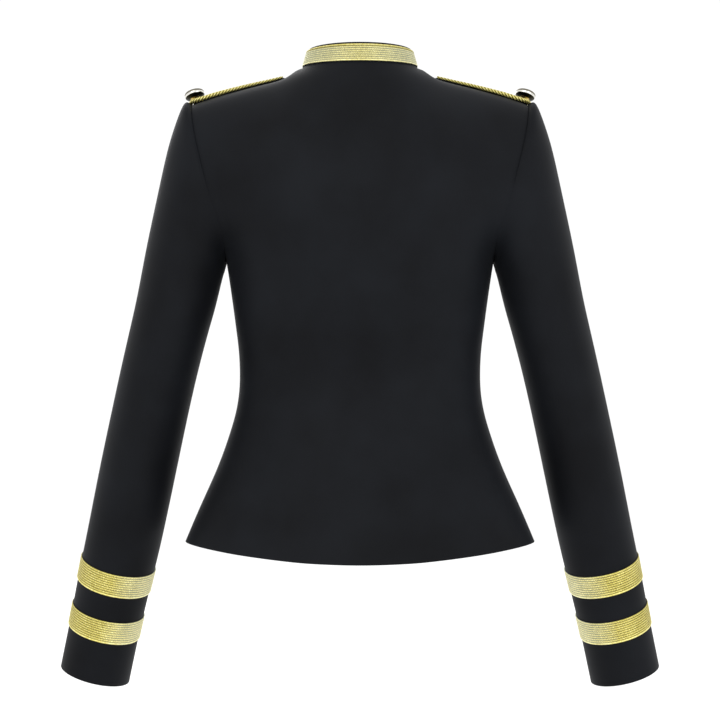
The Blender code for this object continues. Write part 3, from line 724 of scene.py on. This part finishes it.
def cloth_piece(node, wall, levels, creases, hem_zone, axis, zero, scene):
    """One panel of suiting: its solid's outer side, creased, drawn in at its seams and given a wall."""
    cloth = scene.jacket_cloth
    sheet = smoothed(outer_sheet(node, wall), levels)
    let_out(sheet, COLLAR_LET_OUT if node == "collar" else cloth.let_out)
    points, normals = points_of(sheet)
    points = fall_of_cloth(points, normals, creases, cloth.crease)
    near = seam_distance(sheet, hem_zone)
    points = points - normals * (cloth.seam_dip * np.exp(-(near / SEAM_PULL) ** 2))[:, None]
    move_points(sheet, points)
    wrap_map(sheet, *axis, zero)
    piece = placed(sheet, f"{node}_cloth", [finish_of("Black worsted suiting", suiting, cloth)])
    belongs(piece, node)
    sew(piece, cloth)
    return piece


class JACKET_OT_body(bpy.types.Operator):
    """Sew the back and the two fronts"""

    bl_idname = "jacket.body"
    bl_label = "Body"

    def execute(self, context):
        levels = context.scene.jacket_cloth.levels
        axis = ((0, -0.005, 0), (0, -0.005, -0.5))
        back = cloth_piece(
            "back", CLOTH_WALL, levels, BODY_CREASES, BODY_HEM_ZONE, axis, (0, 1, 0), context.scene)
        for hand, _ in HANDS:
            front = cloth_piece(
                f"front_{hand}", CLOTH_WALL, levels, BODY_CREASES, BODY_HEM_ZONE, axis, (0, -1, 0),
                context.scene)
        return {"FINISHED"}


class JACKET_OT_sleeves(bpy.types.Operator):
    """Set in the two sleeves, with their braided cuffs"""

    bl_idname = "jacket.sleeves"
    bl_label = "Sleeves"

    def execute(self, context):
        levels = context.scene.jacket_cloth.levels
        for hand, side in HANDS:
            axis = ((side * 0.165, -0.015, -0.05), (side * 0.285, -0.045, -0.62))
            sleeve = cloth_piece(
                f"sleeve_{hand}", CLOTH_WALL, levels, SLEEVE_CREASES, SLEEVE_HEM_ZONE, axis, (side, 0, 0),
                context.scene)
            bands = [
                braid_band(f"cuff_braid_{hand}_{place}", side, context.scene) for place in ("lower", "upper")]
        return {"FINISHED"}


# Braid


def edge_chains(sheet):
    """The sheet's border as chains of points, split at its square corners, longest first."""
    corners = {v for v in sheet.verts if v.is_boundary and len(v.link_edges) == 2}
    left = {e for e in sheet.edges if e.is_boundary}
    chains = []
    while left:
        start = next((e for e in left if any(v in corners for v in e.verts)), None) or next(iter(left))
        left.discard(start)
        first = next((v for v in start.verts if v in corners), start.verts[0])
        chain = [first, start.other_vert(first)]
        while chain[-1] not in corners and chain[-1] is not chain[0]:
            step = next((e for e in chain[-1].link_edges if e in left), None)
            if step is None:
                break
            left.discard(step)
            chain.append(step.other_vert(chain[-1]))
        chains.append(chain)
    return sorted(chains, key=lambda c: -sum((a.co - b.co).length for a, b in zip(c, c[1:])))


def chain_distance(chain, places):
    """The distance of each place from a chain of points."""
    ends = np.array(chain)
    nearest = np.full(len(places), np.inf)
    for start, end in zip(ends, ends[1:]):
        way = end - start
        share = np.clip(((places - start) @ way) / (way @ way), 0, 1)
        nearest = np.minimum(nearest, np.linalg.norm(places - start - share[:, None] * way, axis=1))
    return nearest


def band_share(points, low, high):
    """How far each point lies on the way from a band's low edge to its high one, from 0 to 1."""
    below = chain_distance(low, points)
    return below / (below + chain_distance(high, points))


def cut_fine(sheet, low, high, rows, collar):
    """Cuts a smoothed band into steps that are small enough to hold the gimp."""
    share = band_share(points_of(sheet)[0], low, high)
    sheet.verts.index_update()
    across = [e for e in sheet.edges if abs(share[e.verts[0].index] - share[e.verts[1].index]) > 0.1]
    steps = COLLAR_ROW_STEPS if collar else CUFF_ROW_STEPS
    bmesh.ops.subdivide_edges(sheet, edges=across, cuts=round(rows * steps / 2 ** BRAID_LEVELS) - 1)
    along = [e for e in sheet.edges if not runs_across(e, low, high)]
    bmesh.ops.subdivide_edges(sheet, edges=along, cuts=CUTS_ALONG)
    sheet.normal_update()


def braid_band(node, hand, scene):
    """A band of gimp braid: rows of slanted stitches, the slant turned over from row to row."""
    braid = scene.jacket_braid
    collar = "collar" in node
    rows = braid.collar_rows if collar else braid.cuff_rows
    sheet = smoothed(outer_sheet(node, BRAID_WALL), BRAID_LEVELS)
    chains = sorted(edge_chains(sheet)[:2], key=lambda c: sum(v.co.z for v in c) / len(c))
    low, high = ([tuple(v.co) for v in chain] for chain in chains)
    width = float(np.mean(chain_distance(low, np.array(high))))
    cut_fine(sheet, low, high, rows, collar)
    points, normals = points_of(sheet)
    share = band_share(points, low, high)
    turn, radius = turns_round(points, low, high, collar)
    row = np.minimum((share * rows).astype(int), rows - 1)
    into = share * rows - row
    stitches = round(math.tau * radius / braid.stitch)
    height = gimp_height(row, into, turn / math.tau * stitches, rows, hand, collar)
    tone, painted_side_light = gimp_tones(row, into, normals[:, 0] * hand, rows, collar)
    move_points(sheet, points + normals * ((height - RELIEF_SUNK) * braid.relief)[:, None])
    # The relief and side-light values feed the finish's painted groove shade, stitch highlights and painted
    # side light
    for name, values in (("relief", height), ("tone", tone), ("painted_side_light", painted_side_light), ("share", share)):
        keep_value(sheet, name, values)
    lay_map(sheet, "Braid", dict(zip(sheet.verts, turn)), radius, dict(zip(sheet.verts, share * width)))
    turn_in(sheet, BRAID_TURN_IN)
    piece = placed(sheet, node.replace("braid", "gimp"), [finish_of("Gilt gimp braid", gimp_thread, braid)])
    belongs(piece, node)
    return piece


def runs_across(edge, low, high):
    """Whether an edge of a finely cut band runs from its low side to its high side."""
    way = np.array(edge.verts[1].co - edge.verts[0].co)
    axis = np.array(high).mean(0) - np.array(low).mean(0)
    return abs(way @ axis) > 0.7 * np.linalg.norm(way) * np.linalg.norm(axis)


def turns_round(points, low, high, collar):
    """Each point's turn round the band's axis from behind, and the band's mean radius."""
    middle = np.array(low + high).mean(0)
    axis = np.array(high).mean(0) - np.array(low).mean(0)
    axis = np.array([0.0, 0.0, 1.0]) if collar else axis / np.linalg.norm(axis)
    zero = np.array([0.0, 1.0, 0.0])
    zero = zero - axis * (zero @ axis)
    zero /= np.linalg.norm(zero)
    arms = points - middle
    turn = np.arctan2(arms @ np.cross(axis, zero), arms @ zero)
    radius = float(np.mean(np.linalg.norm(arms - (arms @ axis)[:, None] * axis, axis=1)))
    return turn, radius


def gimp_height(row, into, stitch, rows, hand, collar):
    """How high the gimp stands at each point, from 0 in a groove to 1 on a stitch.

    A point has its row, its place across it and its count of stitches round the band. The row at the foot
    is a smooth edging, and so is the collar's top row.
    """
    lean = np.where(row % 2 == 0, 1.0, -1.0) * hand
    phase = stitch + lean * (into - 0.5) * STITCH_LEAN + row * ROW_OFFSET
    ridge = np.sin(np.pi * np.clip(into, 0, 1)) ** ROW_ROUNDNESS
    bump = np.abs(np.sin(np.pi * phase)) ** STITCH_ROUNDNESS
    edging = (row == 0) | (collar & (row == rows - 1))
    return np.where(edging, ridge, ridge * (1 - STITCH_GROOVE + STITCH_GROOVE * bump))


def gimp_tones(row, into, outwards, rows, collar):
    """How light the gimp is, and its painted side light: the collar's sides and cuffs' inner sides are
    painted paler.

    The collar's top row is half edging and half shadowed groove, painted darker, and takes no painted side
    light.
    """
    if not collar:
        # Painted light: the cuff's inner side is painted paler and cooler, standing in for how the light
        # falls there
        painted_side_light = np.clip(-outwards * 1.2, 0, 1)
        return np.where(row == 0, 1.16, 1.0) * (1 + CUFF_INNER_PAINTED_LIGHT * painted_side_light), painted_side_light
    top = row == rows - 1
    tone = np.where(row == 0, 1.06, 0.90)
    tone = np.where(top, np.where(into > 0.5, 1.05, 0.72), tone)
    # Painted side light on the collar: some all round, more where it faces sideways, none on the top row
    return tone, np.where(top, 0.0, np.clip(0.35 + 0.65 * np.abs(outwards), 0, 1))


def keep_value(sheet, name, values):
    """Stores one number for each point, which a material can read."""
    layer = sheet.verts.layers.float.new(name)
    for vert, value in zip(sheet.verts, values):
        vert[layer] = float(value)


def turn_in(sheet, depth):
    """Turns the edges of a band in by a depth, and closes the back with one strip."""
    share = sheet.verts.layers.float["share"]
    border = [e for e in sheet.edges if e.is_boundary]
    made = bmesh.ops.extrude_edge_only(sheet, edges=border)["geom"]
    new = {g for g in made if isinstance(g, bmesh.types.BMVert)}
    inward = {}
    for vert in new:
        source = next(e.other_vert(vert) for e in vert.link_edges if e.other_vert(vert) not in new)
        inward[vert] = source.normal.copy()
        vert[share] = source[share]
    for vert, normal in inward.items():
        vert.co -= normal * depth
    rim = [g for g in made if isinstance(g, bmesh.types.BMEdge) and g.is_boundary]
    low = [e for e in rim if max(v[share] for v in e.verts) < 0.01]
    high = [e for e in rim if min(v[share] for v in e.verts) > 0.99]
    bmesh.ops.bridge_loops(sheet, edges=low + high)
    ends = [e for e in sheet.edges if e.is_boundary]
    if ends:
        bmesh.ops.holes_fill(sheet, edges=ends, sides=0)
    bmesh.ops.recalc_face_normals(sheet, faces=sheet.faces)


class JACKET_OT_collar(bpy.types.Operator):
    """Sew the stand collar and its braid"""

    bl_idname = "jacket.collar"
    bl_label = "Collar"

    def execute(self, context):
        axis = ((0, -0.012, 0.04), (0, -0.012, -0.05))
        levels = context.scene.jacket_cloth.levels
        collar = cloth_piece("collar", COLLAR_WALL, levels, (), NO_HEM, axis, (0, 1, 0), context.scene)
        band = braid_band("collar_braid", 1, context.scene)
        return {"FINISHED"}


# Epaulettes


def ring_centres(node):
    """The middle line of a packed cord, from the rings of points round it, end to end."""
    solid = merged(node)
    sharp = [e for e in solid.edges if len(e.link_faces) == 2 and e.calc_face_angle(0) > math.radians(60)]
    rearmost = max(sharp, key=lambda e: e.verts[0].co.y + e.verts[1].co.y)
    ring = set(rearmost.verts)
    more = ring
    while more:
        more = {v for e in sharp if any(v in ring for v in e.verts) for v in e.verts} - ring
        ring |= more
    seen = set(ring)
    centres = []
    while ring:
        centres.append(np.mean([v.co for v in ring], axis=0))
        ring = {e.other_vert(v) for v in ring for e in v.link_edges} - seen
        seen |= ring
    solid.free()
    return np.array(centres)


def evenly(points, step):
    """The same line with points an even step apart."""
    length = np.concatenate([[0], np.cumsum(np.linalg.norm(np.diff(points, axis=0), axis=1))])
    count = max(2, round(length[-1] / step))
    places = np.linspace(0, length[-1], count + 1)
    return np.column_stack([np.interp(places, length, points[:, k]) for k in range(3)]), places


def line_frames(points):
    """Two directions square to a line at each of its points, which don't twist along it."""
    ways = np.gradient(points, axis=0)
    ways /= np.linalg.norm(ways, axis=1)[:, None]
    side = np.cross(ways[0], (0, 0, 1.0))
    side /= np.linalg.norm(side)
    sides = []
    for way in ways:
        side = side - way * (side @ way)
        side /= np.linalg.norm(side)
        sides.append(side)
    sides = np.array(sides)
    return sides, np.cross(ways, sides)


def strand_mesh(line, radius, sizes):
    """A round strand along a line, from a circle that is carried along it, with its size at each point."""
    curve = bpy.data.curves.new("strand", "CURVE")
    curve.dimensions = "3D"
    curve.bevel_depth = radius
    curve.bevel_resolution = 2
    curve.use_fill_caps = True
    spline = curve.splines.new("POLY")
    spline.points.add(len(line) - 1)
    for point, place, size in zip(spline.points, line, sizes):
        point.co = (*place, 1.0)
        point.radius = size
    holder = bpy.data.objects.new("strand", curve)
    bpy.context.collection.objects.link(holder)
    data = bpy.data.meshes.new_from_object(holder.evaluated_get(bpy.context.evaluated_depsgraph_get()))
    bpy.data.objects.remove(holder)
    bpy.data.curves.remove(curve)
    return data


def twist_cord(node, hand, scene):
    """The twisted cord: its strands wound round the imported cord's middle line, finer towards its ends."""
    cord = scene.jacket_cord
    reach = cord.orbit + cord.strand
    rough = ring_centres(node)
    for _ in range(3):
        rough[1:-1] = (rough[:-2] + rough[1:-1] * 2 + rough[2:]) / 4
    line, places = evenly(rough, 0.6 * MM)
    from_end = np.minimum(places, places[-1] - places)
    sizes = cord.end_size + (1 - cord.end_size) * np.clip(from_end / cord.taper, 0, 1)
    line = line - ((1 - sizes) * reach)[:, None] * np.array((0, 0, 1))
    side, lift = line_frames(line)
    whole = bmesh.new()
    layer = whole.verts.layers.float.new("relief")
    for strand in range(cord.strands):
        turn = math.tau * (strand / cord.strands - places / cord.lead * hand)
        way = side * np.cos(turn)[:, None] + lift * np.sin(turn)[:, None]
        data = strand_mesh(line + way * (cord.orbit * sizes)[:, None], cord.strand, sizes)
        whole.from_mesh(data)
        bpy.data.meshes.remove(data)
    tree = tree_of(line)
    # Relief from groove to crown, which the cord's finish turns into painted shade and painted highlight
    for vert in whole.verts:
        _, index, away = tree.find(vert.co)
        vert[layer] = max(0.0, min(1.0, (away / (reach * sizes[index]) - GROOVE_REACH) / GROOVE_FADE))
    piece = placed(
        whole, f"{node}_twisted", [finish_of("Gilt twisted cord", twisted_thread, scene.jacket_braid)])
    belongs(piece, node)
    return piece


def button_axis(points):
    """The axis of a packed button, which points up: the odd one of the three spreads of its points."""
    values, ways = np.linalg.eigh(np.cov((points - points.mean(0)).T))
    odd = np.argmin([abs(values[1] - values[2]), abs(values[0] - values[2]), abs(values[0] - values[1])])
    axis = Vector(ways[:, odd])
    return -axis if axis.z < 0 else axis


def button_finish(face, radius):
    """The finish of a face of the spun button, before it is set in place: 0 back, 1 rim, 2 shank, 3 crown."""
    middle = face.calc_center_median()
    out = math.hypot(middle.x, middle.y) / radius
    up = middle.z / radius
    if out < SHANK_REACH and up < SHANK_TOP:
        return 2
    if out > RIM_REACH and RIM_LOW < up < RIM_HIGH:
        return 1
    return 3 if up > RIM_HIGH else 0


def make_button(node, scene):
    """A shank button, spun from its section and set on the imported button's axis."""
    button = scene.jacket_button
    solid = merged(node)
    points = np.array([v.co for v in solid.verts])
    solid.free()
    centre = points.mean(0)
    axis = button_axis(points)
    along = (points - centre) @ np.array(axis)
    radius = np.linalg.norm(points - centre - along[:, None] * np.array(axis), axis=1).max()
    height = float(along.max() - along.min())
    turned = bmesh.new()
    verts = [
        turned.verts.new((r * radius, 0, z * (height if z < SHANK_FROM else radius * HEAD_DEPTH)))
        for r, z in BUTTON_SECTION]
    edges = [turned.edges.new(pair) for pair in zip(verts, verts[1:])]
    bmesh.ops.spin(
        turned, geom=verts + edges, cent=(0, 0, 0), axis=(0, 0, 1), angle=math.tau, steps=button.segments,
        use_merge=True)
    bmesh.ops.remove_doubles(turned, verts=turned.verts, dist=1e-6)
    bmesh.ops.recalc_face_normals(turned, faces=turned.faces)
    for face in turned.faces:
        face.material_index = button_finish(face, radius)
    top = Vector(centre) + axis * float(along.max())
    place = Matrix.Translation(top) @ axis.to_track_quat("Z", "Y").to_matrix().to_4x4()
    bmesh.ops.transform(turned, matrix=place, verts=turned.verts)
    finishes = (
        ("Toned brass back", button.back, 0.34, 0.6),
        # Polished nickel on the rim's band, painted near white as a highlight
        ("Polished nickel rim", button.rim, 0.2, 0.8),
        ("Gilt brass shank", button.shank, 0.3, 0.7),
        ("Worn nickel crown", button.crown, 0.3, 0.7))
    piece = placed(turned, f"{node}_turned", [
        finish_of(name, button_metal, name, list(tone), rough, spots)
        for name, tone, rough, spots in finishes])
    belongs(piece, node)
    return piece


class JACKET_OT_epaulettes(bpy.types.Operator):
    """Lay the shoulder tabs, with their cords and buttons"""

    bl_idname = "jacket.epaulettes"
    bl_label = "Epaulettes"

    def execute(self, context):
        for hand, side in HANDS:
            axis = ((side * 0.08, -0.02, 0), (side * 0.18, -0.02, -0.03))
            tab = cloth_piece(
                f"epaulette_{hand}", EPAULETTE_WALL, EPAULETTE_LEVELS, (), NO_HEM, axis, (0, 0, 1),
                context.scene)
            cord = twist_cord(f"epaulette_cord_{hand}", side, context.scene)
            button = make_button(f"button_{hand}", context.scene)
        return {"FINISHED"}


# Studio


def soft_light(name, place, size, power, colour):
    """A large soft light that looks at the jacket's middle."""
    data = bpy.data.lights.new(name, "AREA")
    data.shape = "RECTANGLE"
    data.size = size[0]
    data.size_y = size[1]
    data.energy = power
    data.color = colour
    lamp = bpy.data.objects.new(name, data)
    lamp.location = place
    lamp.rotation_euler = (Vector(JACKET_MIDDLE) - Vector(place)).to_track_quat("-Z", "Y").to_euler()
    bpy.context.collection.objects.link(lamp)


class JACKET_OT_studio(bpy.types.Operator):
    """Put up the camera, the lights and the pale floor"""

    bl_idname = "jacket.studio"
    bl_label = "Studio"

    def execute(self, context):
        studio = context.scene.jacket_studio
        data = bpy.data.cameras.new("Camera")
        data.lens = studio.lens
        data.sensor_width = 36.0
        data.clip_end = 50.0
        camera = bpy.data.objects.new("Camera", data)
        camera.location = (0.0, studio.distance, studio.height)
        camera.rotation_euler = (math.pi / 2, 0.0, math.pi)
        context.collection.objects.link(camera)
        context.scene.camera = camera
        floor = bmesh.new()
        bmesh.ops.create_circle(floor, cap_ends=True, radius=9.0, segments=96,
                                matrix=Matrix.Translation((0, 0, studio.floor_height)))
        card = placed(floor, "floor", [finish_of("Matt studio card", floor_card, studio)])
        world = bpy.data.worlds.new("Studio")
        world.use_nodes = True
        sky = world.node_tree.nodes["Background"]
        sky.inputs["Color"].default_value = (1.0, 1.0, 1.0, 1.0)
        sky.inputs["Strength"].default_value = studio.sky
        context.scene.world = world
        context.scene.view_settings.view_transform = "Standard"
        for light in LIGHTS:
            soft_light(*light)
        return {"FINISHED"}


class JACKET_PT_sidebar(bpy.types.Panel):
    """The jacket's pieces and sizes"""

    bl_idname = "JACKET_PT_sidebar"
    bl_label = "Jacket"
    bl_space_type = "VIEW_3D"
    bl_region_type = "UI"
    bl_category = "Jacket"

    def draw(self, context):
        for group in ("jacket_cloth", "jacket_braid", "jacket_cord", "jacket_button", "jacket_studio"):
            box = self.layout.box()
            settings = getattr(context.scene, group)
            for name in settings.bl_rna.properties.keys():
                if name not in ("rna_type", "name"):
                    box.prop(settings, name)
        for operator in OPERATORS:
            self.layout.operator(operator.bl_idname)


GROUPS = {
    "jacket_cloth": JacketCloth,
    "jacket_braid": JacketBraid,
    "jacket_cord": JacketCord,
    "jacket_button": JacketButton,
    "jacket_studio": JacketStudio,
}
OPERATORS = (JACKET_OT_studio, JACKET_OT_body, JACKET_OT_sleeves, JACKET_OT_collar, JACKET_OT_epaulettes)


def register():
    for name, group in GROUPS.items():
        bpy.utils.register_class(group)
        setattr(bpy.types.Scene, name, PointerProperty(type=group))
    for operator in OPERATORS:
        bpy.utils.register_class(operator)
    bpy.utils.register_class(JACKET_PT_sidebar)


def unregister():
    bpy.utils.unregister_class(JACKET_PT_sidebar)
    for operator in reversed(OPERATORS):
        bpy.utils.unregister_class(operator)
    for name, group in GROUPS.items():
        delattr(bpy.types.Scene, name)
        bpy.utils.unregister_class(group)


def main():
    register()
    bpy.ops.jacket.studio()
    bpy.ops.jacket.body()
    bpy.ops.jacket.sleeves()
    bpy.ops.jacket.collar()
    bpy.ops.jacket.epaulettes()


if __name__ == "__main__":
    main()
